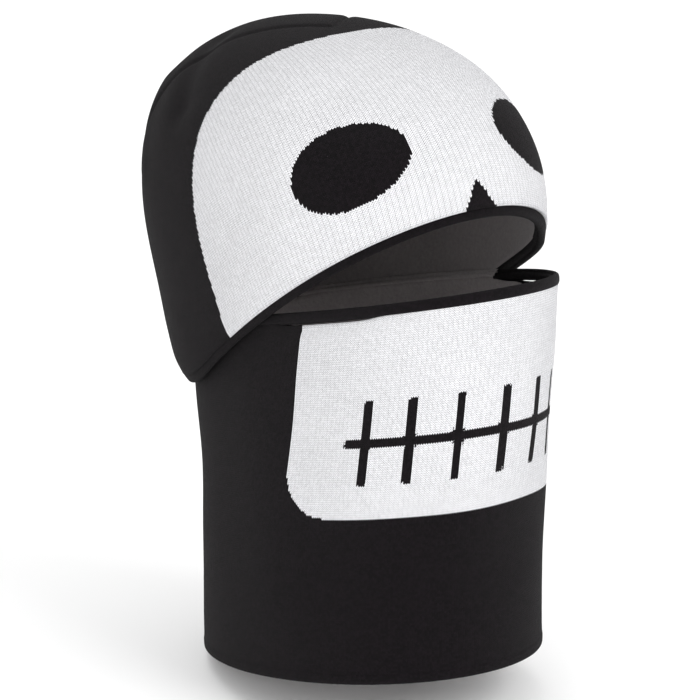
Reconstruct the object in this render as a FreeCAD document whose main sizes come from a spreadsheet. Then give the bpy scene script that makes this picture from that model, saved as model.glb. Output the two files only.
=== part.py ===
"""Knitted balaclava in two sewn pieces: a hood that tips back off the head
and a neck tube whose front pulls down off the face.

Axes: +Z up, the wearer faces -Y, +X is the wearer's left.
Origin: centre of the neck opening, level with the lowest point of the hem.
All sizes are millimetres.
"""
import FreeCAD, Part
import os
import Sketcher

OUTPUT_FOLDER = "parts"

# Each row is (alias, value, meaning). Half depths are split into front and
# back because the head is not centred over the neck.
SIZE_ROWS = [
    ("knit", 1.6, "outer jacquard knit thickness"),
    ("allowance", 1.0, "space between knit and lining, filled only by seams"),
    ("fleece", 1.4, "lining thickness"),
    ("proud", 0.8, "how far a rolled edge stands out of the knit"),
    ("part_clearance", 0.4, "gap between pieces that move past each other"),
    ("seam_width", 5.0, "width of a flattened seam allowance"),
    # hood
    ("hood_low", 104.0, "level of the lowest hood section"),
    ("hood_low_front", 80.0, "reach forwards at that level"),
    ("hood_nape", 124.0, "level of the nape section"),
    ("hood_nape_front", 80.0, "reach forwards at the nape"),
    ("hood_slip_side", 1.0, "space between hood and tube beside the nape"),
    ("hood_slip_back", 2.0, "space between hood and tube behind the nape"),
    ("hood_taper_side", 1.8, "how much the lowest section is narrower"),
    ("hood_taper_back", 7.5, "how much the lowest section reaches back less"),
    ("hood_ear", 164.0, "level of the ear section"),
    ("hood_ear_side", 72.5, "half width at the ears"),
    ("hood_ear_front", 80.0, "reach forwards at the ears"),
    ("hood_ear_back", 123.0, "reach backwards at the ears"),
    ("hood_brow", 209.0, "level where the dome starts"),
    ("hood_brow_side", 77.0, "half width at the brow, the widest place"),
    ("hood_brow_front", 80.0, "reach forwards at the brow"),
    ("hood_brow_back", 133.0, "reach backwards at the brow"),
    ("dome_rise", 76.0, "height of the dome above the brow section"),
    ("dome_fullness", 2.35, "2 is an ellipse, more is squarer"),
    ("dome_lean", 6.0, "how far the crown leans back"),
    ("rim_front", 244.0, "level of the hood rim at the front of its profile"),
    ("rim_angle", 37.8, "fall of the hood rim towards the nape, degrees"),
    ("rim_bend", 65.0, "radius where the rim turns level"),
    ("rim_nape", 127.0, "level of the hood rim at the nape"),
    ("rim_band", 6.5, "height of the rolled hood rim"),
    ("dart_start", 14.0, "distance of a crown dart from the crown centre"),
    ("dart_low", 224.0, "level where the crown darts run out"),
    ("dart_turn", 45.0, "turn of a crown dart from the front, degrees"),
    # tube
    ("tube_base", -4.0, "level of the lowest tube section"),
    ("tube_base_side", 67.0, "half width at the hem"),
    ("tube_base_front", 86.0, "reach forwards at the hem"),
    ("tube_base_back", 93.0, "reach backwards at the hem"),
    ("tube_collar", 29.0, "level of the collar section"),
    ("tube_collar_side", 66.3, "half width at the collar"),
    ("tube_collar_front", 84.6, "reach forwards at the collar"),
    ("tube_collar_back", 92.3, "reach backwards at the collar"),
    ("tube_neck", 62.0, "level of the neck section"),
    ("tube_neck_side", 65.5, "half width at the neck"),
    ("tube_neck_front", 84.0, "reach forwards at the neck"),
    ("tube_neck_back", 92.0, "reach backwards at the neck"),
    ("tube_jaw", 94.0, "level of the jaw section"),
    ("tube_jaw_side", 64.5, "half width at the jaw"),
    ("tube_jaw_front", 86.5, "reach forwards at the jaw"),
    ("tube_jaw_back", 94.5, "reach backwards at the jaw"),
    ("tube_nape", 125.0, "level of the nape section"),
    ("tube_nape_side", 64.0, "half width at the nape level"),
    ("tube_nape_front", 91.0, "reach forwards at the nape level"),
    ("tube_nape_back", 102.0, "reach backwards at the nape level"),
    ("tube_ear", 160.0, "level of the ear section"),
    ("tube_ear_side", 63.5, "half width at the ears"),
    ("tube_ear_front", 96.0, "reach forwards at the mouth"),
    ("tube_ear_back", 103.0, "reach backwards under the hood"),
    ("tube_top", 208.0, "level of the highest tube section"),
    ("tube_top_side", 62.0, "half width at the top"),
    ("tube_top_front", 101.0, "reach forwards at the nose"),
    ("tube_top_back", 97.0, "reach backwards under the hood"),
    ("hem_middle", 14.0, "level of the hem at the middle of the side"),
    ("hem_angle", 8.5, "rise of the hem towards the front, degrees"),
    ("hem_band", 5.0, "height of the turned hem"),
    ("mask_middle", 175.0, "level of the mask rim at the middle of the side"),
    ("mask_angle", 14.7, "rise of the mask rim towards the front, degrees"),
    ("mask_band", 4.6, "height of the rolled mask rim"),
    ("mask_pivot_back", 15.0, "distance of the mask pivot behind the origin"),
    ("mask_pivot_level", 160.0, "level of the mask pivot"),
    ("mask_underside_angle", 31.0, "slope of the mask's lower line, degrees"),
    # nape hinge
    ("nape_drop", 2.6, "distance of the nape hinge below the hood rim"),
    ("nape_seam_width", 44.0, "length of the nape seam"),
    ("nape_tape_height", 8.0, "height of the nape tape"),
    ("nape_tape", 1.8, "thickness of the nape tape"),
    ("bartack_width", 3.0, "width of a bar tack"),
    ("bartack_height", 10.0, "height of a bar tack"),
    ("bartack", 2.4, "thickness of a bar tack"),
    # label
    ("label_width", 24.0, "width of the blank label"),
    ("label_height", 14.0, "height of the blank label"),
    ("label", 0.6, "thickness of the label"),
    ("label_level", 40.0, "level of the label's lower edge"),
    # working volume that every cutting shape reaches past
    ("reach", 160.0, "half size of the cutting shapes"),
    ("ceiling", 320.0, "level above everything"),
]

HOOD_LEVELS = ["low", "nape", "ear", "brow"]
DOME_TURNS = [24, 44, 60, 72, 81, 87]
TUBE_LEVELS = ["base", "collar", "neck", "jaw", "nape", "ear", "top"]

doc = FreeCAD.newDocument("Balaclava")


def make_sheet():
    """Put every size in the sheet as a plain number with an alias."""
    sheet = doc.addObject("Spreadsheet::Sheet", "Sizes")
    for row, (alias, value, meaning) in enumerate(SIZE_ROWS, start=1):
        sheet.set(f"A{row}", meaning)
        sheet.set(f"B{row}", str(value))
        sheet.setAlias(f"B{row}", alias)
    doc.recompute()


def bind(obj, **expressions):
    """Bind properties; a double underscore stands for a dot."""
    for name, expression in expressions.items():
        obj.setExpression(name.replace("__", "."), expression)
    return obj


def ellipse(name, side, depth, shift, level):
    """A section of a head-shaped surface: long axis front to back."""
    section = doc.addObject("Part::Ellipse", name)
    turn = FreeCAD.Rotation(FreeCAD.Vector(0, 0, 1), 90)
    section.Placement = FreeCAD.Placement(FreeCAD.Vector(), turn)
    bind(section, MajorRadius=depth, MinorRadius=side)
    bind(section, Placement__Base__y=shift, Placement__Base__z=level)
    return section


def half_size(piece, level, way):
    """A section's half size to the side, front or back.

    The two lowest hood sections go over the tube: their sides and backs
    are the tube's own at the nape, plus the hood's wall and a slip space.
    """
    if piece != "hood" or way == "front" or level not in ("low", "nape"):
        return f"Sizes.{piece}_{level}_{way}"
    over_tube = f"(Sizes.tube_nape_{way} + {INSIDE} + Sizes.hood_slip_{way})"
    if level == "nape":
        return over_tube
    return f"({over_tube} - Sizes.hood_taper_{way})"


def level_section(name, piece, level, inset):
    """Section of the hood or the tube at one of its named levels."""
    half_width = half_size(piece, level, "side")
    front = half_size(piece, level, "front")
    back = half_size(piece, level, "back")
    side = f"{half_width} - ({inset})"
    depth = f"({front} + {back}) / 2 - ({inset})"
    shift = f"({back} - {front}) / 2"
    return ellipse(name, side, depth, shift, f"Sizes.{piece}_{level}")


def dome_section(name, turn, inset):
    """Section of the dome, turn degrees up from the brow section."""
    shrink = f"cos({turn} deg) ^ (2 / Sizes.dome_fullness)"
    climb = f"sin({turn} deg) ^ (2 / Sizes.dome_fullness)"
    stem = "Sizes.hood_brow"
    side = f"({stem}_side - ({inset})) * {shrink}"
    half = f"({stem}_front + {stem}_back) / 2"
    depth = f"({half} - ({inset})) * {shrink}"
    shift = f"({stem}_back - {stem}_front) / 2 + Sizes.dome_lean * ({climb}) ^ 2"
    level = f"{stem} + (Sizes.dome_rise - ({inset})) * {climb}"
    return ellipse(name, side, depth, shift, level)


def loft(name, sections):
    """Solid through the sections, lowest first."""
    body = doc.addObject("Part::Loft", name)
    body.Sections = sections
    body.Solid = True
    return body


def hood_volume(name, inset):
    """Everything inside the hood's outer surface moved in by inset."""
    sections = [
        level_section(f"{name}_{level}", "hood", level, inset)
        for level in HOOD_LEVELS
    ]
    sections += [
        dome_section(f"{name}_dome_{turn}", turn, inset) for turn in DOME_TURNS
    ]
    return loft(name, sections)


def tube_volume(name, inset):
    """Everything inside the tube's outer surface moved in by inset."""
    sections = [
        level_section(f"{name}_{level}", "tube", level, inset)
        for level in TUBE_LEVELS
    ]
    return loft(name, sections)


def cut(name, base, tool):
    """Base without tool."""
    result = doc.addObject("Part::Cut", name)
    result.Base = base
    result.Tool = tool
    return result


def common(name, *pieces):
    """What all the pieces share."""
    result = doc.addObject("Part::MultiCommon", name)
    result.Shapes = list(pieces)
    return result


def box(name, length, width, height, left, front, level):
    """Box from its three sizes and its lowest corner."""
    result = doc.addObject("Part::Box", name)
    bind(result, Length=length, Width=width, Height=height)
    bind(result, Placement__Base__x=left)
    bind(result, Placement__Base__y=front)
    bind(result, Placement__Base__z=level)
    return result


def side_sketch(name):
    """Empty sketch on the YZ plane: its X is +Y and its Y is +Z."""
    sketch = doc.addObject("Sketcher::SketchObject", name)
    turn = FreeCAD.Rotation(FreeCAD.Vector(1, 1, 1), 120)
    sketch.Placement = FreeCAD.Placement(FreeCAD.Vector(), turn)
    return sketch


def extrude_across(name, sketch):
    """Extrude a side sketch both ways past the sides."""
    solid = doc.addObject("Part::Extrusion", name)
    solid.Base = sketch
    solid.DirMode = "Normal"
    solid.Solid = True
    solid.Symmetric = True
    bind(solid, LengthFwd="2 * Sizes.reach")
    return solid


def close_loop(sketch, points):
    """Join the points by lines and pin the ends of the lines together."""
    count = len(points)
    lines = []
    for index in range(count):
        start = FreeCAD.Vector(*points[index], 0)
        finish = FreeCAD.Vector(*points[(index + 1) % count], 0)
        lines.append(sketch.addGeometry(Part.LineSegment(start, finish)))
    for index in range(count):
        follower = lines[(index + 1) % count]
        sketch.addConstraint(
            Sketcher.Constraint("Coincident", lines[index], 2, follower, 1)
        )
    return lines


def pin_point(sketch, line, across, up):
    """Hold the start of a line at two expressions, measured from the origin.

    Each constraint starts at the drawn value, so the solver stays on the
    drawn solution while the sketch is being built.
    """
    origin = -1
    drawn = sketch.Geometry[line].StartPoint
    pins = [("DistanceX", drawn.x, across), ("DistanceY", drawn.y, up)]
    for kind, value, expression in pins:
        number = sketch.addConstraint(
            Sketcher.Constraint(kind, origin, 1, line, 1, value)
        )
        sketch.setExpression(f"Constraints[{number}]", expression)


def slope_level(middle, angle, across):
    """Level of a line that falls towards the back, at a place on it."""
    return f"({middle}) - ({across}) * tan({angle} * 1 deg)"


def above_line(name, middle, angle, raise_by):
    """Everything above a straight sloping line seen from the side."""
    sketch = side_sketch(f"{name}_sketch")
    lines = close_loop(
        sketch, [(-160, 40), (160, 10), (160, 320), (-160, 320)]
    )
    start = f"{middle} + ({raise_by})"
    front = "-Sizes.reach"
    back = "Sizes.reach"
    pin_point(sketch, lines[0], front, slope_level(start, angle, front))
    pin_point(sketch, lines[1], back, slope_level(start, angle, back))
    pin_point(sketch, lines[2], back, "Sizes.ceiling")
    pin_point(sketch, lines[3], front, "Sizes.ceiling")
    return extrude_across(name, sketch)


def above_rim(name, raise_by):
    """Everything above the hood rim: a slope, a bend, then level."""
    sketch = side_sketch(f"{name}_sketch")
    vector = FreeCAD.Vector
    slope = sketch.addGeometry(
        Part.LineSegment(vector(-160, 290, 0), vector(30, 142, 0))
    )
    centre = vector(73, 192, 0)
    bend = sketch.addGeometry(
        Part.ArcOfCircle(Part.Circle(centre, vector(0, 0, 1), 65), 4.05, 4.71)
    )
    level = sketch.addGeometry(
        Part.LineSegment(vector(73, 127, 0), vector(160, 127, 0))
    )
    back = sketch.addGeometry(
        Part.LineSegment(vector(160, 127, 0), vector(160, 320, 0))
    )
    roof = sketch.addGeometry(
        Part.LineSegment(vector(160, 320, 0), vector(-160, 320, 0))
    )
    front = sketch.addGeometry(
        Part.LineSegment(vector(-160, 320, 0), vector(-160, 290, 0))
    )
    sketch.addConstraint([
        Sketcher.Constraint("Tangent", slope, 2, bend, 1),
        Sketcher.Constraint("Tangent", bend, 2, level, 1),
        Sketcher.Constraint("Coincident", level, 2, back, 1),
        Sketcher.Constraint("Coincident", back, 2, roof, 1),
        Sketcher.Constraint("Coincident", roof, 2, front, 1),
        Sketcher.Constraint("Coincident", front, 2, slope, 1),
        Sketcher.Constraint("Horizontal", level),
    ])
    radius = sketch.addConstraint(Sketcher.Constraint("Radius", bend, 65.0))
    sketch.setExpression(f"Constraints[{radius}]", "Sizes.rim_bend")
    fall = sketch.addConstraint(
        Sketcher.Constraint("Angle", slope, -0.66)
    )
    sketch.setExpression(f"Constraints[{fall}]", "-Sizes.rim_angle * 1 deg")
    climb = "(Sizes.reach - 100) * tan(Sizes.rim_angle * 1 deg)"
    start = f"Sizes.rim_front + {climb} + ({raise_by})"
    pin_point(sketch, slope, "-Sizes.reach", start)
    pin_point(
        sketch, back, "Sizes.reach", f"Sizes.rim_nape + ({raise_by})"
    )
    pin_point(sketch, roof, "Sizes.reach", "Sizes.ceiling")
    pin_point(sketch, front, "-Sizes.reach", "Sizes.ceiling")
    return extrude_across(name, sketch)


def mask_wedge(name, grow):
    """The part of the tube that pulls down, grown by a clearance."""
    sketch = side_sketch(f"{name}_sketch")
    lines = close_loop(
        sketch, [(15, 160), (15, 320), (-160, 320), (-160, 60)]
    )
    back = f"Sizes.mask_pivot_back + {grow}"
    underside = "Sizes.mask_underside_angle * 1 deg"
    level = f"Sizes.mask_pivot_level - ({grow}) / cos({underside})"
    fall = f"(Sizes.reach + Sizes.mask_pivot_back) * tan({underside})"
    pin_point(sketch, lines[0], back, level)
    pin_point(sketch, lines[1], back, "Sizes.ceiling")
    pin_point(sketch, lines[2], "-Sizes.reach", "Sizes.ceiling")
    pin_point(sketch, lines[3], "-Sizes.reach", f"{level} - {fall}")
    return extrude_across(name, sketch)


def finish_part(obj, label):
    """Give a finished piece its own name."""
    obj.Label = label
    finished.append(obj)
    return obj


def make_hood():
    """Hood shell, lining, rolled rim and the seams between the layers."""
    skin = hood_volume("hood_skin", "0")
    raised = hood_volume("hood_raised", "-Sizes.proud")
    under_knit = hood_volume("hood_under_knit", UNDER_KNIT)
    over_lining = hood_volume("hood_over_lining", OVER_LINING)
    inside = hood_volume("hood_inside", INSIDE)
    over_rim = above_rim("over_hood_rim", "0")
    over_band = above_rim("over_hood_band", "Sizes.rim_band")

    knit_wall = cut("hood_knit_wall", skin, under_knit)
    finish_part(common("hood_knit", knit_wall, over_band), "hood_shell")
    lining_wall = cut("hood_lining_wall", over_lining, inside)
    finish_part(common("hood_fleece", lining_wall, over_band), "hood_lining")
    band = cut("hood_band_strip", over_rim, over_band)
    band_wall = cut("hood_band_wall", raised, inside)
    finish_part(common("hood_rim_roll", band_wall, band), "hood_binding")

    space = cut("hood_seam_space", under_knit, over_lining)
    for label, turn in CROWN_DARTS:
        strip = dart_strip(f"strip_{label}", turn)
        finish_part(common(f"body_{label}", space, strip), label)
    back_strip = box(
        "hood_back_strip", "Sizes.seam_width", "Sizes.reach",
        "Sizes.dart_low - Sizes.rim_nape - Sizes.rim_band",
        "-Sizes.seam_width / 2", "0", "Sizes.rim_nape + Sizes.rim_band",
    )
    finish_part(common("hood_back_join", space, back_strip), "hood_back_seam")


def dart_strip(name, turn):
    """Slab that picks one crown dart out of the seam space."""
    strip = box(
        name, "Sizes.reach", "Sizes.seam_width", "Sizes.ceiling",
        "0", "0", "Sizes.dart_low",
    )
    spin = FreeCAD.Rotation(FreeCAD.Vector(0, 0, 1), 0)
    strip.Placement.Rotation = spin
    crown = "(Sizes.hood_brow_back - Sizes.hood_brow_front) / 2 + Sizes.dome_lean"
    half = "Sizes.seam_width / 2"
    start = "Sizes.dart_start"
    bind(strip, Placement__Rotation__Angle=f"({turn}) * 1 deg")
    away = f"cos(({turn}) * 1 deg)"
    aside = f"sin(({turn}) * 1 deg)"
    bind(strip, Placement__Base__x=f"{start} * {away} + {half} * {aside}")
    bind(strip, Placement__Base__y=f"{crown} + {start} * {aside} - {half} * {away}")
    return strip


def make_tube():
    """Mask, neck, their linings, rolled edges, seams and label."""
    skin = tube_volume("tube_skin", "0")
    raised = tube_volume("tube_raised", "-Sizes.proud")
    under_knit = tube_volume("tube_under_knit", UNDER_KNIT)
    over_lining = tube_volume("tube_over_lining", OVER_LINING)
    inside = tube_volume("tube_inside", INSIDE)
    wedge = mask_wedge("mask_wedge", "0")
    wide_wedge = mask_wedge("mask_wedge_wide", "Sizes.part_clearance")

    hem = ("Sizes.hem_middle", "Sizes.hem_angle")
    rim = ("Sizes.mask_middle", "Sizes.mask_angle")
    over_hem = above_line("over_hem", *hem, "0")
    over_hem_band = above_line("over_hem_band", *hem, "Sizes.hem_band")
    over_rim = above_line("over_mask_rim", *rim, "0")
    over_rim_band = above_line("over_mask_band", *rim, "-Sizes.mask_band")
    body_zone = cut("tube_body_zone", over_hem_band, over_rim_band)
    hem_zone = cut("hem_zone", over_hem, over_hem_band)
    rim_zone = cut("rim_zone", over_rim_band, over_rim)
    neck_zone = cut("neck_zone", body_zone, wide_wedge)

    walls = [
        ("knit", "shell", cut("tube_knit_wall", skin, under_knit)),
        ("fleece", "lining", cut("tube_lining_wall", over_lining, inside)),
    ]
    for name, ending, wall in walls:
        front = common(f"mask_{name}", wall, body_zone, wedge)
        finish_part(front, f"mask_{ending}")
        finish_part(common(f"neck_{name}", wall, neck_zone), f"neck_{ending}")
    edge_wall = cut("tube_edge_wall", raised, inside)
    finish_part(common("mask_roll", edge_wall, rim_zone, wedge), "mask_binding")
    back_rim_zone = cut("back_rim_zone", rim_zone, wide_wedge)
    finish_part(common("neck_roll", edge_wall, back_rim_zone), "neck_binding")
    finish_part(common("hem_turn", edge_wall, hem_zone), "neck_hem")

    space = cut("tube_seam_space", under_knit, over_lining)
    strip = box(
        "neck_back_strip", "Sizes.seam_width", "Sizes.reach", "Sizes.ceiling",
        "-Sizes.seam_width / 2", "0", "0",
    )
    finish_part(common("neck_join", space, strip, body_zone), "neck_back_seam")

    make_nape(skin)
    make_label(inside)


def make_nape(skin):
    """The tape that joins hood and tube, with a bar tack at each end."""
    tape_cover = tube_volume("nape_tape_cover", "-Sizes.nape_tape")
    tape_wall = cut("nape_tape_wall", tape_cover, skin)
    tape_strip = box(
        "nape_tape_strip", "Sizes.nape_seam_width", "Sizes.reach",
        "Sizes.nape_tape_height", "-Sizes.nape_seam_width / 2", "0",
        f"{HINGE_LEVEL} - Sizes.nape_tape_height",
    )
    finish_part(common("nape_tape", tape_wall, tape_strip), "nape_seam")

    tack_cover = tube_volume("bartack_cover", "-Sizes.bartack")
    tack_wall = cut("bartack_wall", tack_cover, skin)
    inner_end = "Sizes.nape_seam_width / 2"
    places = [
        ("nape_bartack_left", inner_end),
        ("nape_bartack_right", f"-{inner_end} - Sizes.bartack_width"),
    ]
    for label, start in places:
        strip = box(
            f"strip_{label}", "Sizes.bartack_width", "Sizes.reach",
            "Sizes.bartack_height", start, "0",
            f"{HINGE_LEVEL} - Sizes.bartack_height",
        )
        finish_part(common(f"body_{label}", tack_wall, strip), label)


def make_label(inside):
    """Blank label sewn to the lining at the back of the neck."""
    cover = tube_volume("label_cover", f"{INSIDE} + Sizes.label")
    wall = cut("label_wall", inside, cover)
    strip = box(
        "label_strip", "Sizes.label_width", "Sizes.reach",
        "Sizes.label_height", "-Sizes.label_width / 2", "0",
        "Sizes.label_level",
    )
    finish_part(common("label_piece", wall, strip), "care_label")


def export_parts():
    """Check the whole document, then write one STEP file per piece."""
    broken = [
        obj.Name for obj in doc.Objects
        if "Invalid" in obj.State or "Error" in obj.State
    ]
    if broken:
        raise RuntimeError(f"objects that failed: {broken}")
    for obj in finished:
        if obj.Shape.isNull() or not obj.Shape.isValid():
            raise RuntimeError(f"bad shape: {obj.Label}")
        if len(obj.Shape.Solids) != 1:
            raise RuntimeError(f"{obj.Label}: {len(obj.Shape.Solids)} solids")
    os.makedirs(OUTPUT_FOLDER, exist_ok=True)
    for obj in finished:
        obj.Shape.exportStep(os.path.join(OUTPUT_FOLDER, f"{obj.Label}.step"))


UNDER_KNIT = "Sizes.knit"
OVER_LINING = "(Sizes.knit + Sizes.allowance)"
INSIDE = "(Sizes.knit + Sizes.allowance + Sizes.fleece)"
HINGE_LEVEL = "Sizes.rim_nape - Sizes.nape_drop"
CROWN_DARTS = [
    ("crown_seam_front_left", "-Sizes.dart_turn"),
    ("crown_seam_front_right", "180 + Sizes.dart_turn"),
    ("crown_seam_back_left", "Sizes.dart_turn"),
    ("crown_seam_back_right", "180 - Sizes.dart_turn"),
]

finished = []
make_sheet()
make_hood()
make_tube()
doc.recompute()
export_parts()
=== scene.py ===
"""Looks of a knitted balaclava: a hood that tips back and a neck tube whose front pulls down.

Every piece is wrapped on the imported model's own surfaces, so its place and size come from the frame.
Lengths are metres, except in the knitting charts, which count millimetres of cloth.
"""

import math

import bmesh
import bpy
import numpy as np
from bpy.props import FloatProperty, FloatVectorProperty, IntProperty, PointerProperty
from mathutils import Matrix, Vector
from mathutils.bvhtree import BVHTree


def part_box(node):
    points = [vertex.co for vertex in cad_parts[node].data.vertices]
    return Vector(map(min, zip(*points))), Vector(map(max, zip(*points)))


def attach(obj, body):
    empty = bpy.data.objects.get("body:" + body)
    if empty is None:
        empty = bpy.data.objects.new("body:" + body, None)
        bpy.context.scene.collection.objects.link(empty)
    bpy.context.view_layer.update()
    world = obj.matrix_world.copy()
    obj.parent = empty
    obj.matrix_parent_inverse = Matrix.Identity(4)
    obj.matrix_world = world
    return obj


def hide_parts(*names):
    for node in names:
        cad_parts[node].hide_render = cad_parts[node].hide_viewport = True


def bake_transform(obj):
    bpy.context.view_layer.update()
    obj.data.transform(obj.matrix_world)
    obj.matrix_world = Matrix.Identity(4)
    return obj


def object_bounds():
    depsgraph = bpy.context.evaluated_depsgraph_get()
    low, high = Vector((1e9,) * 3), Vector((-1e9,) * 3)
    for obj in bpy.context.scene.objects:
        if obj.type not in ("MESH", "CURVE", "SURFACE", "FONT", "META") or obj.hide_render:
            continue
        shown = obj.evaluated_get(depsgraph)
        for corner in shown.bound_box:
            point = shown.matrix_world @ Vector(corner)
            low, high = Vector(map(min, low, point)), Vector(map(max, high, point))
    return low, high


bl_info = {
    "name": "Knitted Balaclava",
    "version": (1, 0, 0),
    "blender": (4, 5, 0),
    "location": "3D View > Sidebar > Balaclava",
    "description": "Dresses the packed hood and neck tube in lined jacquard knit",
    "category": "Object",
}

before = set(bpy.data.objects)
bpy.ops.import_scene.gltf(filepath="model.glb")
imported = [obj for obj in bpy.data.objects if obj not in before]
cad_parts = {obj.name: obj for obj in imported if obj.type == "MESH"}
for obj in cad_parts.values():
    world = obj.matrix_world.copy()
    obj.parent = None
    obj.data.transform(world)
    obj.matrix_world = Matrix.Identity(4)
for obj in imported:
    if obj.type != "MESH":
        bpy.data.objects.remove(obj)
cad_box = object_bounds()

MM = 0.001

# The hood is knitted from the crown down, with its crown leaning back from the face.
HOOD_CENTRE = Vector((0.0, 0.030, 0.189))
CROWN_LEAN = math.radians(35.0)
CROWN = Vector((0.0, math.sin(CROWN_LEAN), math.cos(CROWN_LEAN)))
FACE = Vector((0.0, -math.cos(CROWN_LEAN), math.sin(CROWN_LEAN)))
SIDE = Vector((1.0, 0.0, 0.0))
HOOD_COLUMNS = 320
HOOD_ROWS = 128

TUBE_COLUMNS = 320
TUBE_ROWS = 104
LINING_COLUMNS, HOOD_LINING_ROWS, TUBE_LINING_ROWS = 200, 80, 64
# A first guess at the tube's half depth, where the search for its surface starts.
TUBE_REACH = 0.092
# The black roll ends here and the turned lining goes on round the back.
MASK_EDGE_BACK = -0.003
# Knit, spare space and lining together.
WALL = 4.0 * MM
# How far the hem's fold stands out, and how wide the lining is that turns over the rim.
HEM_PROUD = 0.2 * MM
TURNED_LINING = 3.0 * MM
# How far each layer runs on under the rolled edges.
KNIT_RUN_ON, LINING_RUN_ON = 2.5 * MM, 2.3 * MM
# Rays from outside start this far from the middle and stop 20 mm short of it.
RAY_START, RAY_LENGTH = 0.3, 0.28
HEM_MIDDLE, HEM_SLOPE = 0.014, math.tan(math.radians(8.5))
RIM_MIDDLE, RIM_SLOPE = 0.175, math.tan(math.radians(14.7))
CHART_HEIGHT = 161.0


# ---------------------------------------------------------------- sizes and colours

class KnitSettings(bpy.types.PropertyGroup):
    """Yarn and stitches of the two knitted pieces"""
    stitch_width: FloatProperty(
        name="Stitch width", description="Width of one column of stitches",
        default=1.04 * MM, min=0.5 * MM, max=3 * MM, subtype="DISTANCE", unit="LENGTH", precision=5)
    stitch_height: FloatProperty(
        name="Stitch height", description="Height of one row of stitches",
        default=0.95 * MM, min=0.4 * MM, max=3 * MM, subtype="DISTANCE", unit="LENGTH", precision=5)
    stitch_depth: FloatProperty(
        name="Stitch depth", description="How far a stitch stands out of the gaps round it",
        default=0.35 * MM, min=0.0, max=1 * MM, subtype="DISTANCE", unit="LENGTH", precision=5)
    cloth: FloatProperty(
        name="Knit thickness", description="Thickness of the outer knit",
        default=1.5 * MM, min=0.5 * MM, max=3 * MM, subtype="DISTANCE", unit="LENGTH", precision=5)
    lining: FloatProperty(
        name="Lining thickness", description="Thickness of the brushed lining",
        default=1.2 * MM, min=0.5 * MM, max=3 * MM, subtype="DISTANCE", unit="LENGTH", precision=5)
    white_yarn: FloatVectorProperty(
        name="White yarn", description="Colour of the pattern yarn",
        default=(0.92, 0.92, 0.945), min=0.0, max=1.0, subtype="COLOR")
    black_yarn: FloatVectorProperty(
        name="Black yarn", description="Colour of the ground yarn",
        default=(0.0046, 0.0030, 0.0042), min=0.0, max=1.0, subtype="COLOR")
    lining_colour: FloatVectorProperty(
        name="Lining", description="Colour of the brushed lining",
        default=(0.345, 0.318, 0.320), min=0.0, max=1.0, subtype="COLOR")


class EdgeSettings(bpy.types.PropertyGroup):
    """Rolled edges and seams"""
    hood_band: FloatProperty(
        name="Hood band", description="Height of the rolled edge of the hood",
        default=6.0 * MM, min=2 * MM, max=20 * MM, subtype="DISTANCE", unit="LENGTH", precision=4)
    mask_band: FloatProperty(
        name="Mask band", description="Height of the rolled edge of the neck tube",
        default=4.6 * MM, min=2 * MM, max=20 * MM, subtype="DISTANCE", unit="LENGTH", precision=4)
    hem_band: FloatProperty(
        name="Hem", description="Height of the turned hem",
        default=5.0 * MM, min=2 * MM, max=20 * MM, subtype="DISTANCE", unit="LENGTH", precision=4)
    proud: FloatProperty(
        name="Roll stands out", description="How far a rolled edge stands out of the knit",
        default=0.5 * MM, min=0.0, max=3 * MM, subtype="DISTANCE", unit="LENGTH", precision=4)
    groove: FloatProperty(
        name="Seam groove", description="Depth of the dent that a seam pulls into the knit",
        default=1.1 * MM, min=0.0, max=3 * MM, subtype="DISTANCE", unit="LENGTH", precision=4)
    thread: FloatProperty(
        name="Thread", description="Thickness of the sewing thread",
        default=0.7 * MM, min=0.2 * MM, max=2 * MM, subtype="DISTANCE", unit="LENGTH", precision=4)
    seam_pitch: FloatProperty(
        name="Seam pitch", description="Distance from one turn of the oversewn seams to the next",
        default=1.6 * MM, min=0.5 * MM, max=6 * MM, subtype="DISTANCE", unit="LENGTH", precision=4)


class StageSettings(bpy.types.PropertyGroup):
    """Camera, lights and floor"""
    azimuth: FloatProperty(
        name="Camera turn", description="Turn of the camera round the balaclava from the front",
        default=math.radians(-34.0), subtype="ANGLE", unit="ROTATION")
    elevation: FloatProperty(
        name="Camera height", description="Angle of the camera above the horizon",
        default=math.radians(17.0), subtype="ANGLE", unit="ROTATION")
    distance: FloatProperty(
        name="Camera distance", description="Distance from the camera to the balaclava",
        default=2.2, min=0.5, max=10.0, subtype="DISTANCE", unit="LENGTH")
    lens: FloatProperty(
        name="Lens", description="Focal length of the camera, in millimetres",
        default=263.2, min=20.0, max=500.0)
    floor_sides: IntProperty(
        name="Floor sides", description="Number of sides of the round floor",
        default=48, min=8, max=128)


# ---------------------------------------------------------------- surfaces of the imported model

def surface_of(*nodes):
    """One ray-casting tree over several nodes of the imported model."""
    points, faces = [], []
    for name in nodes:
        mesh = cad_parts[name].data
        start = len(points)
        points += [v.co.copy() for v in mesh.vertices]
        faces += [[start + i for i in face.vertices] for face in mesh.polygons]
    return BVHTree.FromPolygons(points, faces)


def hood_ray(turn, tilt):
    """Direction from the hood's centre: turn goes round from the face, tilt down from the crown."""
    level = FACE * math.cos(turn) + SIDE * math.sin(turn)
    return CROWN * math.cos(tilt) + level * math.sin(tilt)


def hood_point(tree, turn, tilt, inside=False):
    """Where the hood's surface is in a direction, or None past its rim."""
    direction = hood_ray(turn, tilt)
    if inside:
        return tree.ray_cast(HOOD_CENTRE, direction, 0.16)[0]
    found = tree.ray_cast(HOOD_CENTRE + direction * RAY_START, -direction, RAY_LENGTH)[0]
    return found


def lowest_tilt(tree, turn, inside=False):
    """The tilt at which the hood ends, found by halving."""
    low, high = math.radians(60), math.radians(130)
    for _ in range(16):
        middle = (low + high) / 2
        if hood_point(tree, turn, middle, inside) is None:
            high = middle
        else:
            low = middle
    return low


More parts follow.
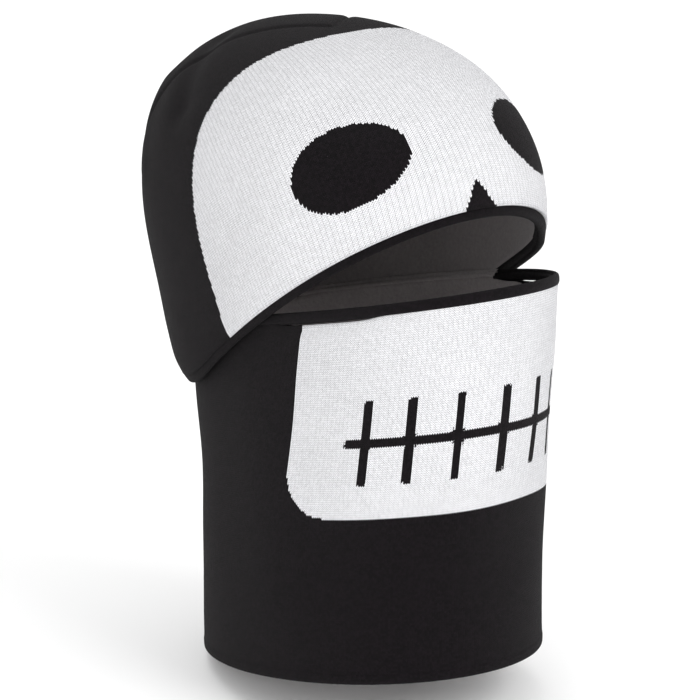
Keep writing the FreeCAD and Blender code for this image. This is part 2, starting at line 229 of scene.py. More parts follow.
def hood_sheet(tree, edge_tree, columns, rows, inside=False):
    """Points of a hood layer, from just inside its rolled edge (row 0) up to the crown, and its chart."""
    turns = np.linspace(-math.pi, math.pi, columns + 1)
    points = np.zeros((rows + 1, columns + 1, 3))
    tilts = np.zeros((rows + 1, columns + 1))
    rims = np.zeros((columns + 1, 3))
    for i, turn in enumerate(turns[:-1]):
        lift = LIFT * math.exp(-((turn - LIFT_TURN) / LIFT_SPREAD) ** 2)
        end = lowest_tilt(edge_tree, turn, inside) - lift
        rims[i] = hood_point(edge_tree, turn, end - 0.002, inside)
        start = lowest_tilt(tree, turn, inside) - 0.004 - lift
        for j in range(rows + 1):
            tilt = start * (1 - j / rows)
            tilts[j, i] = tilt
            points[j, i] = hood_point(tree, turn, tilt, inside)
    for each in (points, tilts):
        each[:, -1] = each[:, 0]
    rims[-1] = rims[0]
    points = soften(points, 14)
    rims = soften(rims[None], 14)[0]
    return turns, tilts, points, rims


def soften(points, times):
    """Even out the model's small flat faces; the sheet is closed round its columns."""
    ring = points[:, :-1].copy()
    for _ in range(times):
        ring = ring * 0.5 + (np.roll(ring, 1, axis=1) + np.roll(ring, -1, axis=1)) * 0.25
        if len(ring) > 2:
            ring[1:-1] = ring[1:-1] * 0.5 + (ring[2:] + ring[:-2]) * 0.25
    return np.concatenate([ring, ring[:, :1]], axis=1)


def climb(points, rims):
    """Distance up the cloth from the rolled edge, in millimetres, for each point."""
    steps = np.linalg.norm(np.diff(points, axis=0), axis=2)
    first = np.linalg.norm(points[0] - rims, axis=1)
    return np.concatenate([first[None], first + np.cumsum(steps, axis=0)]) / MM


def hem_level(y):
    return HEM_MIDDLE - HEM_SLOPE * y


def rim_level(y):
    return RIM_MIDDLE - RIM_SLOPE * y


def tube_point(tree, turn, share, inside=False):
    """Where the tube's surface is at a turn from the front, at a share of its height."""
    flat = Vector((math.sin(turn), -math.cos(turn), 0.0))
    y = flat.y * TUBE_REACH
    found = None
    for _ in range(5):
        level = hem_level(y) * (1 - share) + rim_level(y) * share
        middle = Vector((0.0, 0.0, level))
        if inside:
            found = tree.ray_cast(middle, flat, 0.16)[0]
        else:
            found = tree.ray_cast(middle + flat * RAY_START, -flat, RAY_LENGTH)[0]
        if found is None:
            return None
        y = found.y
    return found


def tube_sheet(tree, columns, rows, low, high, inside=False):
    """Points of a tube layer from share low (row 0) to share high of its height."""
    turns = np.linspace(-math.pi, math.pi, columns + 1)
    points = np.zeros((rows + 1, columns + 1, 3))
    shares = np.linspace(low, high, rows + 1)
    for i, turn in enumerate(turns[:-1]):
        for j, share in enumerate(shares):
            found = tube_point(tree, turn, share, inside)
            points[j, i] = (math.nan,) * 3 if found is None else found
        bridge_slit(points[:, i])
    points[:, -1] = points[:, 0]
    return shares, soften(close_gaps(points, inside), 10)


def bridge_slit(column):
    """Fill the points of one column whose rays went through the slit between neck and mask."""
    rows = np.arange(len(column))
    known = ~np.isnan(column[:, 0])
    for axis in range(3):
        column[~known, axis] = np.interp(rows[~known], rows[known], column[known, axis])


def close_gaps(points, inside):
    """Push back out the few points that fell into the slit between neck and mask."""
    ring = points[:, :-1]
    reach = np.hypot(ring[..., 0], ring[..., 1])
    padded = np.pad(reach, ((2, 2), (0, 0)), mode="edge")
    stack = np.stack([padded[k:k + len(reach)] for k in range(5)])
    usual = stack.min(axis=0) if inside else stack.max(axis=0)
    wrong = np.abs(usual - reach) > 0.5 * MM
    scale = np.where(wrong, usual / reach, 1.0)
    ring[..., 0] *= scale
    ring[..., 1] *= scale
    points[:, -1] = points[:, 0]
    return points


def round_the_front(points):
    """Distance round the tube from its front centre, in millimetres, for each point."""
    steps = np.linalg.norm(np.diff(points, axis=1), axis=2)
    around = np.concatenate([np.zeros((len(points), 1)), np.cumsum(steps, axis=1)], axis=1)
    middle = around[:, around.shape[1] // 2]
    return (around - middle[:, None]) / MM


def outward(points):
    """Unit normals of a closed sheet of points, away from its middle."""
    ring = points[:, :-1]
    along = np.roll(ring, -1, axis=1) - np.roll(ring, 1, axis=1)
    up = np.gradient(ring, axis=0)
    normal = np.cross(along, up)
    length = np.linalg.norm(normal, axis=2, keepdims=True)
    normal = np.divide(normal, length, out=np.zeros_like(normal), where=length > 1e-12)
    middle = ring.reshape(-1, 3).mean(axis=0)
    side = np.sign(np.sum((ring - middle) * normal, axis=2).mean())
    normal *= side
    return np.concatenate([normal, normal[:, :1]], axis=1)


# ---------------------------------------------------------------- knitting charts

# A chart is a function of u, the millimetres of cloth round from the front, and v, the
# millimetres up from an edge. It is above zero where the white yarn shows.

def rounded_box(u, v, centre, half, corner):
    """Distance inside a rectangle with rounded corners."""
    across = np.abs(u - centre[0]) - (half[0] - corner)
    upright = np.abs(v - centre[1]) - (half[1] - corner)
    outside = np.hypot(np.maximum(across, 0), np.maximum(upright, 0))
    return corner - outside - np.minimum(np.maximum(across, upright), 0)


def oval(u, v, centre, half):
    """Distance inside an oval, about right near its outline."""
    return (1 - np.hypot((u - centre[0]) / half[0], (v - centre[1]) / half[1])) * min(half)


def outline(u, v, corners):
    """Distance inside a closed outline of straight sides."""
    nearest = np.full(u.shape, 1e9)
    inside = np.zeros(u.shape, bool)
    for (x0, y0), (x1, y1) in zip(corners, corners[1:] + corners[:1]):
        dx, dy = x1 - x0, y1 - y0
        t = np.clip(((u - x0) * dx + (v - y0) * dy) / (dx * dx + dy * dy), 0, 1)
        nearest = np.minimum(nearest, np.hypot(u - x0 - t * dx, v - y0 - t * dy))
        crosses = (y0 > v) != (y1 > v)
        level = dy if dy else 1.0
        inside ^= crosses & (u < x0 + (v - y0) / level * dx)
    return np.where(inside, nearest, -nearest)


# The pattern is drawn in millimetres of cloth, from plain shapes.
PALE_FRONT = (130.0, 125.0)
SOCKET_MIDDLE, SOCKET_SIZE = (40.0, 40.0), (22.0, 18.0)
NOSE_HALF, NOSE_HEIGHT = 9.0, 18.0
PALE_MASK_HALF, PALE_MASK_LOW, PALE_MASK_CORNER = 100.0, 72.0, 24.0
TOOTH_PITCH, TOOTH_GAP = 20.0, 4.0
TEETH_LOW, BITE, TEETH_HIGH, TEETH_HALF = 86.0, 104.0, 122.0, 70.0


def hood_chart(u, v):
    """A round pale front with two plain oval sockets and the point of a nose."""
    a = np.abs(u)
    white = oval(a, v, (0.0, 0.0), PALE_FRONT)
    white = np.minimum(white, -oval(a, v, SOCKET_MIDDLE, SOCKET_SIZE))
    return np.minimum(white, -outline(u, v, [(0, NOSE_HEIGHT), (NOSE_HALF, 0), (-NOSE_HALF, 0)]))


def tube_chart(u, v):
    """A pale mask with two rows of plain, evenly spaced teeth."""
    middle, half = (PALE_MASK_LOW + 2 * CHART_HEIGHT) / 2, (2 * CHART_HEIGHT - PALE_MASK_LOW) / 2
    white = rounded_box(u, v, (0.0, middle), (PALE_MASK_HALF, half), PALE_MASK_CORNER)
    from_gap = np.abs((u / TOOTH_PITCH + 0.5) % 1 - 0.5) * TOOTH_PITCH
    row = np.minimum(np.minimum(v - TEETH_LOW, TEETH_HIGH - v), TEETH_HALF - np.abs(u))
    upright = np.minimum(TOOTH_GAP / 2 - from_gap, row)
    bite = np.minimum(TOOTH_GAP / 2 - np.abs(v - BITE), TEETH_HALF - np.abs(u))
    return np.minimum(white, -np.maximum(upright, bite))


def plain_chart(u, v):
    """Ground yarn only."""
    return np.full(u.shape, -9.0)


def chart_values(chart, u, v):
    """The chart's value and its slopes along u and v, which place its edges between stitches."""
    step = 0.3
    along = (chart(u + step, v) - chart(u - step, v)) / (2 * step)
    upright = (chart(u, v + step) - chart(u, v - step)) / (2 * step)
    return np.stack([np.clip(chart(u, v), -9, 9), along, upright], axis=-1)


# ---------------------------------------------------------------- making meshes

def finish_mesh(mesh_data, name, material):
    """Turn a bmesh into a linked object with smooth faces."""
    for face in mesh_data.faces:
        face.smooth = True
    mesh = bpy.data.meshes.new(name)
    mesh_data.to_mesh(mesh)
    mesh_data.free()
    mesh.materials.append(material)
    piece = bpy.data.objects.new(name, mesh)
    bpy.context.scene.collection.objects.link(piece)
    return piece


def sheet_mesh(name, points, u, v, material, chart=plain_chart, flip=False, joined=True):
    """A grid laid through rows of points, with its cloth measure as UV and its chart as attribute."""
    rows, columns = points.shape[0] - 1, points.shape[1] - 1
    values = chart_values(chart, u, v)
    made = bmesh.new()
    bmesh.ops.create_grid(made, x_segments=columns, y_segments=rows, size=0.5)
    measure = made.loops.layers.uv.new("Cloth")
    pattern = made.verts.layers.float_vector.new("pattern")
    cells = {}
    for vert in made.verts:
        j, i = round((vert.co.y + 0.5) * rows), round((vert.co.x + 0.5) * columns)
        cells[vert] = (j, i)
        vert.co = points[j, i]
        vert[pattern] = values[j, i]
    for face in made.faces:
        for loop in face.loops:
            j, i = cells[loop.vert]
            loop[measure].uv = (0.5 + u[j, i] * MM, v[j, i] * MM)
    if flip:
        bmesh.ops.reverse_faces(made, faces=made.faces)
    if joined:
        bmesh.ops.remove_doubles(made, verts=made.verts, dist=1e-7)
    made.normal_update()
    return finish_mesh(made, name, material)


def thicken(piece, thickness, side):
    """Give a sheet its thickness, away from its face when side is -1."""
    solid = piece.modifiers.new("Thickness", "SOLIDIFY")
    solid.thickness = thickness
    solid.offset = side
    solid.use_rim = True
    return piece


def roll_points(rim, up, out, band, proud):
    """Points of a rolled edge: down the outside, round its thinner end and up to the lining."""
    end = 1.5 * MM
    profile = [
        (band + 0.7 * MM, -0.9 * MM), (band - 0.2 * MM, proud * 0.4),
        (band * 0.75, proud), (band * 0.4, proud * 0.8),
    ]
    turns = 8
    for k in range(turns + 1):
        angle = math.pi * k / turns
        profile.append((end - end * math.sin(angle), proud * 0.6 - end + end * math.cos(angle)))
    inner = band * 0.75
    profile += [
        (inner * 0.4, -WALL * 0.85), (inner * 0.7, -WALL - 0.35 * MM), (inner, -WALL - 0.5 * MM),
        (inner + 0.6 * MM, -WALL - 0.1 * MM), (inner + 1.2 * MM, -WALL + 0.9 * MM),
    ]
    return np.array([rim + up * a + out * b for a, b in profile])


def run_on(points, u, v, length, top):
    """Add a row at one end of a sheet, so that it runs on under the rolled edge."""
    end, before = (points[-1], points[-3]) if top else (points[0], points[2])
    row = end + unit(end - before) * length
    step = length / MM if top else -length / MM
    parts = [(points, row[None]), (u, u[-1:] if top else u[:1]), (v, (v[-1:] if top else v[:1]) + step)]
    return [np.concatenate([sheet, more] if top else [more, sheet]) for sheet, more in parts]


def creased(points, creases):
    """How far each point is moved out (ridges) or in (valleys) by soft creases of the cloth."""
    shift = np.zeros(points.shape[:2])
    for start, end, height, width in creases:
        start, end = np.array(start), np.array(end)
        line = end - start
        t = np.clip((points - start) @ line / (line @ line), 0, 1)
        away = np.linalg.norm(points - start - t[..., None] * line, axis=2)
        shift += height * np.exp(-(away / width) ** 2)
    return shift


def measured(points):
    """Millimetres along and across a closed band of points."""
    steps = np.linalg.norm(np.diff(points[len(points) // 2], axis=0), axis=1)
    along = np.concatenate([[0.0], np.cumsum(steps)]) / MM
    rises = np.linalg.norm(np.diff(points, axis=0), axis=2).mean(axis=1)
    across = np.concatenate([[0.0], np.cumsum(rises)]) / MM
    u = np.broadcast_to(along - along[-1] / 2, points.shape[:2])
    v = np.broadcast_to(across[:, None], points.shape[:2])
    return u, v


def unit(vectors):
    return vectors / np.linalg.norm(vectors, axis=-1, keepdims=True)


def drape(points, seed, height):
    """Low, soft swells of cloth that isn't pulled tight, always outwards."""
    wave = np.zeros(points.shape[:2])
    rng = np.random.default_rng(seed)
    for _ in range(7):
        direction = rng.normal(size=3)
        direction *= rng.uniform(60, 150) / np.linalg.norm(direction)
        wave += np.sin(points @ direction + rng.uniform(0, 2 * math.pi))
    wave = (wave - wave.min()) / (wave.max() - wave.min())
    return wave * height


# ---------------------------------------------------------------- materials

class Board:
    """Short ways to add and join nodes on one node tree."""

    def __init__(self, tree):
        self.tree = tree

    def add(self, kind, **settings):
        made = self.tree.nodes.new(kind)
        for name, value in settings.items():
            setattr(made, name, value)
        return made

    def feed(self, socket, value):
        if isinstance(value, bpy.types.NodeSocket):
            self.tree.links.new(value, socket)
        else:
            socket.default_value = value

    def math(self, operation, *values, clamp=False):
        made = self.add("ShaderNodeMath", operation=operation, use_clamp=clamp)
        for socket, value in zip(made.inputs, values):
            self.feed(socket, value)
        return made.outputs[0]

    def mix(self, share, first, second, blend="MIX"):
        made = self.add("ShaderNodeMix", data_type="RGBA", blend_type=blend)
        self.feed(made.inputs[0], share)
        self.feed(made.inputs[6], first)
        self.feed(made.inputs[7], second)
        return made.outputs[2]

    def split(self, vector):
        made = self.add("ShaderNodeSeparateXYZ")
        self.feed(made.inputs[0], vector)
        return made.outputs

    def join(self, x, y, z=0.0):
        made = self.add("ShaderNodeCombineXYZ")
        for socket, value in zip(made.inputs, (x, y, z)):
            self.feed(socket, value)
        return made.outputs[0]

    def scaled(self, vector, size):
        made = self.add("ShaderNodeVectorMath", operation="SCALE")
        self.feed(made.inputs[0], vector)
        self.feed(made.inputs["Scale"], size)
        return made.outputs[0]

    def noise(self, vector, scale, detail=2.0, roughness=0.5):
        made = self.add("ShaderNodeTexNoise")
        self.feed(made.inputs["Vector"], vector)
        made.inputs["Scale"].default_value = scale
        made.inputs["Detail"].default_value = detail
        made.inputs["Roughness"].default_value = roughness
        return made.outputs[0]

    def use(self, group, **values):
        made = self.add("ShaderNodeGroup", node_tree=group)
        for name, value in values.items():
            self.feed(made.inputs[name.replace("_", " ")], value)
        return made.outputs


def new_group(name, inputs, outputs):
    """A shader node group with named sockets; returns its board, its inputs and its output node."""
    group = bpy.data.node_groups.new(name, "ShaderNodeTree")
    for title, kind, value in inputs:
        socket = group.interface.new_socket(title, in_out="INPUT", socket_type=kind)
        if value is not None:
            socket.default_value = value
    for title, kind in outputs:
        group.interface.new_socket(title, in_out="OUTPUT", socket_type=kind)
    board = Board(group)
    entry = board.add("NodeGroupInput")
    leave = board.add("NodeGroupOutput")
    return group, board, entry.outputs, leave.inputs


def stitch_group():
    """Columns of V stitches on cloth measured in millimetres."""
    name = "Knit stitches"
    if name in bpy.data.node_groups:
        return bpy.data.node_groups[name]
    group, board, given, out = new_group(
        name,
        [("Cloth", "NodeSocketVector", None), ("Stitch width", "NodeSocketFloat", 1.0),
         ("Stitch height", "NodeSocketFloat", 1.0), ("Lean", "NodeSocketFloat", 0.8)],
        [("Height", "NodeSocketFloat"), ("Gap", "NodeSocketFloat"), ("Stitch", "NodeSocketVector"),
         ("Shade", "NodeSocketFloat"), ("Pair line", "NodeSocketFloat")],
    )
    u, v, _ = board.split(given["Cloth"])
    columns = board.math("DIVIDE", u, given["Stitch width"])
    column = board.math("FLOOR", columns)
    part = board.math("SUBTRACT", columns, column)
    away = board.math("ABSOLUTE", board.math("MULTIPLY_ADD", part, 2.0, -1.0))
    rise = board.math("MULTIPLY", away, given["Lean"])
    rows = board.math("SUBTRACT", board.math("DIVIDE", v, given["Stitch height"]), rise)
    row = board.math("FLOOR", rows)
    step = board.math("SUBTRACT", rows, row)
    across = board.math("MULTIPLY_ADD", away, 2.0, -1.0)
    along = board.math("MULTIPLY_ADD", step, 2.0, -1.0)
    round_yarn = board.math("SUBTRACT", 1.0, board.math("MULTIPLY", across, across), clamp=True)
    round_loop = board.math("SUBTRACT", 1.0, board.math("MULTIPLY", along, along), clamp=True)
    height = board.math("SQRT", board.math("MULTIPLY", round_yarn, round_loop))
    board.feed(out["Height"], height)
    # Gap is how far a point lies down between the stitches; the knit materials paint shade there.
    board.feed(out["Gap"], board.math("POWER", board.math("SUBTRACT", 1.0, height, clamp=True), 1.4))
    middle_u = board.math("MULTIPLY", board.math("ADD", column, 0.5), given["Stitch width"])
    half_lean = board.math("MULTIPLY", given["Lean"], 0.5)
    middle_v = board.math("ADD", board.math("ADD", row, 0.5), half_lean)
    board.feed(out["Stitch"], board.join(middle_u, board.math("MULTIPLY", middle_v, given["Stitch height"])))
    shade = board.add("ShaderNodeTexWhiteNoise", noise_dimensions="2D")
    board.feed(shade.inputs["Vector"], board.join(column, row))
    board.feed(out["Shade"], shade.outputs["Value"])
    pair = board.math("FRACT", board.math("MULTIPLY", columns, 0.5))
    from_line = board.math("ABSOLUTE", board.math("MULTIPLY_ADD", pair, 2.0, -1.0))
    line = board.math("MULTIPLY_ADD", from_line, 4.5, -3.5, clamp=True)
    dotted = board.math("MULTIPLY_ADD", round_loop, -0.85, 1.0)
    board.feed(out["Pair line"], board.math("MULTIPLY", line, dotted))
    return group


def chart_group():
    """White where the knitting chart says so, changing only from stitch to stitch."""
    name = "Knitting chart"
    if name in bpy.data.node_groups:
        return bpy.data.node_groups[name]
    group, board, given, out = new_group(
        name,
        [("Cloth", "NodeSocketVector", None), ("Stitch", "NodeSocketVector", None),
         ("Chart", "NodeSocketVector", None)],
        [("White", "NodeSocketFloat")],
    )
    u, v, _ = board.split(given["Cloth"])
    middle_u, middle_v, _ = board.split(given["Stitch"])
    value, along, upright = board.split(given["Chart"])
    shift_u = board.math("MULTIPLY", along, board.math("SUBTRACT", middle_u, u))
    shift_v = board.math("MULTIPLY", upright, board.math("SUBTRACT", middle_v, v))
    total = board.math("ADD", value, board.math("ADD", shift_u, shift_v))
    board.feed(out["White"], board.math("GREATER_THAN", total, 0.0))
    return group


def wear_group():
    """Fine fuzz and slow changes of tone that brushed yarn shows."""
    name = "Yarn fuzz"
    if name in bpy.data.node_groups:
        return bpy.data.node_groups[name]
    group, board, given, out = new_group(
        name,
        [("Place", "NodeSocketVector", None), ("Amount", "NodeSocketFloat", 0.1)],
        [("Tone", "NodeSocketFloat"), ("Fuzz", "NodeSocketFloat")],
    )
    slow = board.noise(given["Place"], 28.0, 2.0)
    fine = board.noise(given["Place"], 2600.0, 3.0, 0.7)
    spread = board.math("MULTIPLY", board.math("SUBTRACT", slow, 0.5), given["Amount"])
    amount = board.math("MULTIPLY", given["Amount"], 1.6)
    grain = board.math("MULTIPLY", board.math("SUBTRACT", fine, 0.5), amount)
    board.feed(out["Tone"], board.math("ADD", 1.0, board.math("ADD", spread, grain)))
    board.feed(out["Fuzz"], fine)
    return group


def new_material(name, sheen, sheen_roughness=0.5):
    """A material with its board, its shader and the object's own place."""
    material = bpy.data.materials.new(name)
    material.use_nodes = True
    material.node_tree.nodes.clear()
    board = Board(material.node_tree)
    shader = board.add("ShaderNodeBsdfPrincipled")
    output = board.add("ShaderNodeOutputMaterial")
    board.feed(output.inputs[0], shader.outputs[0])
    shader.inputs["Sheen Weight"].default_value = sheen
    shader.inputs["Sheen Roughness"].default_value = sheen_roughness
    shader.inputs["Specular IOR Level"].default_value = 0.12
    place = board.add("ShaderNodeTexCoord").outputs["Object"]
    return material, board, shader, place


def add_bump(board, shader, height, distance, strength=1.0):
    bump = board.add("ShaderNodeBump")
    bump.inputs["Strength"].default_value = strength
    bump.inputs["Distance"].default_value = distance
    board.feed(bump.inputs["Height"], height)
    board.feed(shader.inputs["Normal"], bump.outputs[0])


def cloth_measure(board):
    """The cloth's own measure in millimetres, from the piece's UV map."""
    return board.scaled(board.add("ShaderNodeUVMap", uv_map="Cloth").outputs[0], 1 / MM)


def knit_material(name, settings, charted, pair_line=0.35):
    """Jacquard or plain knit in the two yarns, with painted shade in the gaps between stitches; pair_line
    darkens the gap after every second column.
    """
    if name in bpy.data.materials:
        return bpy.data.materials[name]
    material, board, shader, place = new_material(name, 0.02)
    cloth = cloth_measure(board)
    height, gap, stitch, shade, line = board.use(
        stitch_group(), Cloth=cloth, Stitch_width=settings.stitch_width / MM,
        Stitch_height=settings.stitch_height / MM, Lean=0.8)
    tone, fuzz = board.use(wear_group(), Place=place, Amount=0.10)
    black = (*settings.black_yarn, 1.0)
    white = (*settings.white_yarn, 1.0)
    colour = board.mix(1.0, black, (1, 1, 1, 1), "MULTIPLY")
    # deep is how strongly the gaps are darkened: painted shade, which on the white also stands for the black
    # ground yarn showing through. spread is how much the stitches differ at random.
    deep, spread = 0.55, 1.10
    if charted:
        chart = board.add("ShaderNodeAttribute", attribute_name="pattern").outputs["Vector"]
        mask = board.use(chart_group(), Cloth=cloth, Stitch=stitch, Chart=chart)[0]
        colour = board.mix(mask, black, white)
        deep = board.math("MULTIPLY_ADD", mask, 0.50, 0.50)
        spread = board.math("MULTIPLY_ADD", mask, -0.96, 1.10)
    gap_shade_and_show_through = board.math("SUBTRACT", 1.0, board.math("MULTIPLY", gap, deep))
    each = board.math("ADD", 1.0, board.math("MULTIPLY", board.math("SUBTRACT", shade, 0.5), spread))
    column = board.math("MULTIPLY_ADD", line, -pair_line, 1.0)
    stitches = board.math("MULTIPLY", gap_shade_and_show_through, each)
    total = board.math("MULTIPLY", stitches, board.math("MULTIPLY", column, tone))
    base = board.mix(1.0, colour, board.join(total, total, total), "MULTIPLY")
    board.feed(shader.inputs["Base Color"], base)
    board.feed(shader.inputs["Roughness"], board.math("MULTIPLY_ADD", height, -0.12, 0.96))
    add_bump(board, shader, board.math("MULTIPLY_ADD", fuzz, 0.25, height), settings.stitch_depth, 0.75)
    return material


def fleece_material(settings):
    """Brushed lining with a short, uneven nap."""
    name = "Brushed lining"
    if name in bpy.data.materials:
        return bpy.data.materials[name]
    material, board, shader, place = new_material(name, 0.25, 0.4)
    tone, fuzz = board.use(wear_group(), Place=place, Amount=0.30)
    nap = board.noise(place, 700.0, 3.0, 0.6)
    colour = board.mix(nap, tuple(c * 0.72 for c in settings.lining_colour) + (1.0,),
                       tuple(c * 1.25 for c in settings.lining_colour) + (1.0,))
    board.feed(shader.inputs["Base Color"], board.mix(1.0, colour, board.join(tone, tone, tone), "MULTIPLY"))
    board.feed(shader.inputs["Roughness"], board.math("MULTIPLY_ADD", nap, 0.12, 0.86))
    add_bump(board, shader, board.math("MULTIPLY_ADD", fuzz, 0.5, nap), 0.5 * MM, 0.8)
    return material


def thread_material(settings):
    """Twisted black sewing thread."""
    name = "Sewing thread"
    if name in bpy.data.materials:
        return bpy.data.materials[name]
    material, board, shader, place = new_material(name, 0.1)
    twist = board.add("ShaderNodeTexWave", bands_direction="DIAGONAL")
    board.feed(twist.inputs["Vector"], place)
    twist.inputs["Scale"].default_value = 900.0
    twist.inputs["Distortion"].default_value = 1.0
    tone, fuzz = board.use(wear_group(), Place=place, Amount=0.15)
    dark = tuple(c * 1.3 for c in settings.black_yarn) + (1.0,)
    light = tuple(c * 3.2 for c in settings.black_yarn) + (1.0,)
    colour = board.mix(twist.outputs[1], dark, light)
    board.feed(shader.inputs["Base Color"], board.mix(1.0, colour, board.join(tone, tone, tone), "MULTIPLY"))
    board.feed(shader.inputs["Roughness"], board.math("MULTIPLY_ADD", fuzz, 0.2, 0.5))
    add_bump(board, shader, twist.outputs[1], 0.15 * MM, 0.7)
    return material


def woven_material(name, colour, across, along, roughness):
    """Flat woven tape or label: two sets of threads over and under each other."""
    if name in bpy.data.materials:
        return bpy.data.materials[name]
    material, board, shader, place = new_material(name, 0.1)
    u, v, _ = board.split(cloth_measure(board))
    warp = board.math("SINE", board.math("MULTIPLY", u, 2 * math.pi / across))
    weft = board.math("SINE", board.math("MULTIPLY", board.math("ADD", v, u), 2 * math.pi / along))
    weave = board.math("MULTIPLY_ADD", board.math("MULTIPLY", warp, weft), 0.5, 0.5)
    tone, fuzz = board.use(wear_group(), Place=place, Amount=0.12)
    shade = board.math("MULTIPLY", board.math("MULTIPLY_ADD", weave, 0.3, 0.75), tone)
    base = board.mix(1.0, (*colour, 1.0), board.join(shade, shade, shade), "MULTIPLY")
    board.feed(shader.inputs["Base Color"], base)
    board.feed(shader.inputs["Roughness"], board.math("MULTIPLY_ADD", fuzz, 0.1, roughness))
    add_bump(board, shader, weave, 0.12 * MM, 0.8)
    return material


# ---------------------------------------------------------------- pieces

LAYERS = {}
DART_PLACES = ("front_left", "front_right", "back_left", "back_right")


def settings():
    """The three groups of settings of this scene."""
    scene = bpy.context.scene
    return scene.balaclava_knit, scene.balaclava_edges, scene.balaclava_stage


def keep_layer(name, **values):
    """Remember a layer's points for the seams and edges that are sewn to it."""
    LAYERS[name] = values


def seam_dent(points, seams):
    """How deep each point lies in the dents that seams pull, from 0 to 1."""
    depth = np.zeros(points.shape[:2])
    for start, turn, low, high in seams:
        away = np.array([math.cos(turn), math.sin(turn)])
        flat = points[..., :2] - np.array(start)
        forward = flat @ away
        aside = np.abs(flat @ np.array([-away[1], away[0]]))
        near = np.exp(-(aside / (1.8 * MM)) ** 2)
        above, below = (points[..., 2] - low) / (8 * MM), (high - points[..., 2]) / (8 * MM)
        level = np.clip(above, 0, 1) * np.clip(below, 0, 1)
        depth = np.maximum(depth, near * level * (forward > 0))
    return depth


def crown_centre():
    """The middle of the four crown darts, from the darts' own boxes."""
    left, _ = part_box("crown_seam_front_left")
    corners = [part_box(f"crown_seam_{place}") for place in DART_PLACES]
    front = max(high.y for low, high in corners[:2])
    back = min(low.y for low, high in corners[2:])
    return (0.0, (front + back) / 2), left.z


def hood_seams():
    """Where the hood is sewn: two of its four crown darts, those that run back from the crown's middle, and
    the middle of the back.
    """
    middle, low = crown_centre()
    back_low, back_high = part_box("hood_back_seam")
    darts = [(middle, turn, low, 1.0) for turn in (math.radians(45), math.radians(135))]
    return darts + [((0.0, 0.0), math.radians(90), back_low.z - 0.01, back_high.z)]


GATHERS = 7


def crown_creases(tree):
    """Soft gathers down from the crown at its sides and back: from, to, height, width."""
    creases = []
    for k in range(GATHERS):
        turn = math.radians(75 + 210 * k / (GATHERS - 1))
        start = hood_point(tree, turn, math.radians(16 + 6 * (k % 3)))
        end = hood_point(tree, turn, math.radians(44 + 6 * (k % 2)))
        creases.append((start, end, (1.2 if k % 2 else -2.2) * MM, 8 * MM))
    return creases


# The face end of the hood is lifted a little on the wearer's left.
LIFT, LIFT_TURN, LIFT_SPREAD = math.radians(5.0), math.radians(88), math.radians(34)


class BALACLAVA_OT_hood(bpy.types.Operator):
    """Knit the hood and its lining"""
    bl_idname = "balaclava.hood"
    bl_label = "Hood"

    def execute(self, context):
        knit, edges, _ = settings()
        shell = surface_of("hood_shell")
        whole = surface_of("hood_shell", "hood_binding")
        turns, tilts, points, rims = hood_sheet(shell, whole, HOOD_COLUMNS, HOOD_ROWS)
        v = climb(points, rims)
        u = 90.0 * turns[None] * np.sqrt(np.sin(tilts))
        out = outward(points)
        swell = drape(points, 4, 1.3 * MM) * np.clip(v / 30, 0, 1)
        dent = seam_dent(points, hood_seams()) * edges.groove
        shaped = points + out * (swell - dent + creased(points, crown_creases(shell)))[..., None]
        keep_layer("hood", points=shaped, out=outward(shaped), rims=rims)
        shaped, u, v = run_on(shaped, u, v, KNIT_RUN_ON, top=False)
        jacquard = knit_material("Hood jacquard", knit, True, 1.0)
        cloth = sheet_mesh("hood_knit", shaped, u, v, jacquard, hood_chart)
        thicken(cloth, knit.cloth, -1)
        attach(cloth, "hood")
        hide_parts("hood_shell")

        lining = surface_of("hood_lining")
        inner = surface_of("hood_lining", "hood_binding")
        turns, tilts, points, rims = hood_sheet(lining, inner, LINING_COLUMNS, HOOD_LINING_ROWS, inside=True)
        v = climb(points, rims)
        u = 90.0 * turns[None] * np.sqrt(np.sin(tilts))
        points, u, v = run_on(points, u, v, LINING_RUN_ON, top=False)
        fleece = sheet_mesh("hood_fleece", points, u, v, fleece_material(knit), flip=True)
        thicken(fleece, knit.lining, -1)
        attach(fleece, "hood")
        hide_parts("hood_lining")
        keep_layer("hood lining", points=points, out=outward(points), rims=rims)
        return {"FINISHED"}


